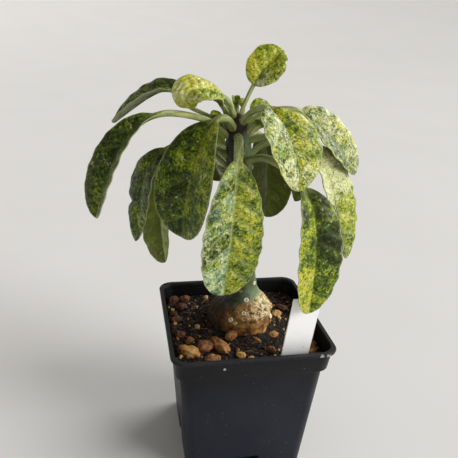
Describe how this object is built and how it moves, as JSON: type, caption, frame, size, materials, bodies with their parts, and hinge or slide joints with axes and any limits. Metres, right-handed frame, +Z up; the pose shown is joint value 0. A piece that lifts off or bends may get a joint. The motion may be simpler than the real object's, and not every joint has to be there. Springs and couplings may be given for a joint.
{
  "type": "potted succulent plant",
  "caption": "Potted variegated dorstenia: a swollen corky stem base and upright stem with arching mottled leaves, in a square plastic pot of gritty mix with a blank label.",
  "frame": {"origin": "centre of the pot's underside, on the surface that it stands on", "axes": "+Z up; +X to the right of the picture, along the pot's front side; +Y away from the viewer"},
  "size_m": [0.1409, 0.0989, 0.2384],
  "materials": {
    "pot_plastic": "satin, finely scuffed",
    "grit_mix": "rough and damp, with tan grit",
    "bark": "corky below, smooth and waxy above",
    "leaf": "soft gloss, mottled green and yellow",
    "yellow_leaf": "soft gloss, puckered, mostly yellow",
    "label_plastic": "smooth, blank"
  },
  "bodies": {
    "root": {"pot": "pot_plastic", "potting_mix": "grit_mix", "caudex_stem": "bark", "plant_label": "label_plastic", "leaf_left_long": "leaf", "leaf_left_high": "leaf", "leaf_yellow": "yellow_leaf", "leaf_left_front": "leaf", "leaf_left_low": "leaf", "leaf_back_left": "leaf", "leaf_back": "leaf", "leaf_front": "leaf", "leaf_back_right": "leaf", "leaf_right_inner": "leaf", "leaf_right_front": "leaf", "leaf_right_high": "leaf", "leaf_right_long": "leaf", "leaf_right_low": "leaf", "leaf_top": "leaf", "young_leaf_1": "leaf", "young_leaf_2": "leaf", "young_leaf_3": "leaf", "young_leaf_4": "leaf", "young_leaf_5": "leaf", "young_leaf_6": "leaf", "young_leaf_7": "leaf", "young_leaf_8": "leaf"}
  },
  "joints": []
}
